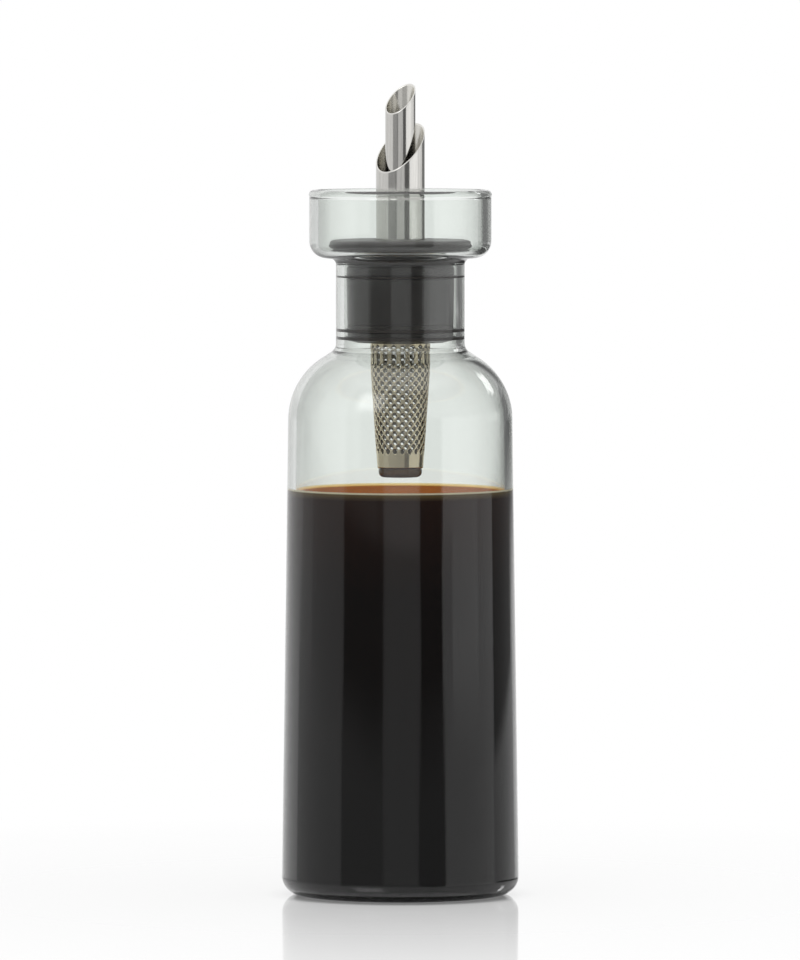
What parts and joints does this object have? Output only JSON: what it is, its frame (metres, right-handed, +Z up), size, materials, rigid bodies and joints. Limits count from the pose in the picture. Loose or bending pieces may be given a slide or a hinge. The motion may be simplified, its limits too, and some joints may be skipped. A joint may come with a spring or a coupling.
{
  "type": "vinegar dispenser",
  "caption": "Round glass vinegar bottle with a drip cup on its neck and a lift-out stopper that carries slanted steel pouring tubes and a perforated strainer.",
  "frame": {"origin": "centre of the bottle's foot, on the surface that it stands on", "axes": "+Z up along the bottle's axis; the picture is taken looking along +Y with +X to the right, and the spouts' high side points to the back right"},
  "size_m": [0.07, 0.07, 0.2393],
  "materials": {
    "clear_glass": "gloss",
    "dark_vinegar": "gloss",
    "dark_grey_plastic": "satin",
    "dark_grey_silicone": "satin",
    "polished_steel": "polished",
    "strainer_steel": "satin",
    "black_plastic": "matte"
  },
  "bodies": {
    "bottle": {"glass_bottle": "clear_glass", "vinegar": "dark_vinegar"},
    "seals": {"upper_seal": "dark_grey_silicone", "lower_seal": "dark_grey_silicone"},
    "stopper": {"stopper_flange": "dark_grey_plastic", "stopper_plug": "dark_grey_plastic", "outer_spout": "polished_steel", "inner_spout": "polished_steel", "tube_spacer": "black_plastic"},
    "strainer": {"strainer": "strainer_steel", "strainer_cap": "dark_grey_plastic"}
  },
  "joints": [
    {"name": "stopper_lift", "type": "slide", "parent": "bottle", "child": "seals", "axis": [0, 0, 1], "range_m": [0, 0.09]},
    {"name": "stopper_turn", "type": "hinge", "parent": "seals", "child": "stopper", "pos_m": [0, 0, 0.19], "axis": [0, 0, 1], "continuous": true},
    {"name": "strainer_pull", "type": "slide", "parent": "stopper", "child": "strainer", "axis": [0, 0, -1], "range_m": [0, 0.0036]}
  ]
}
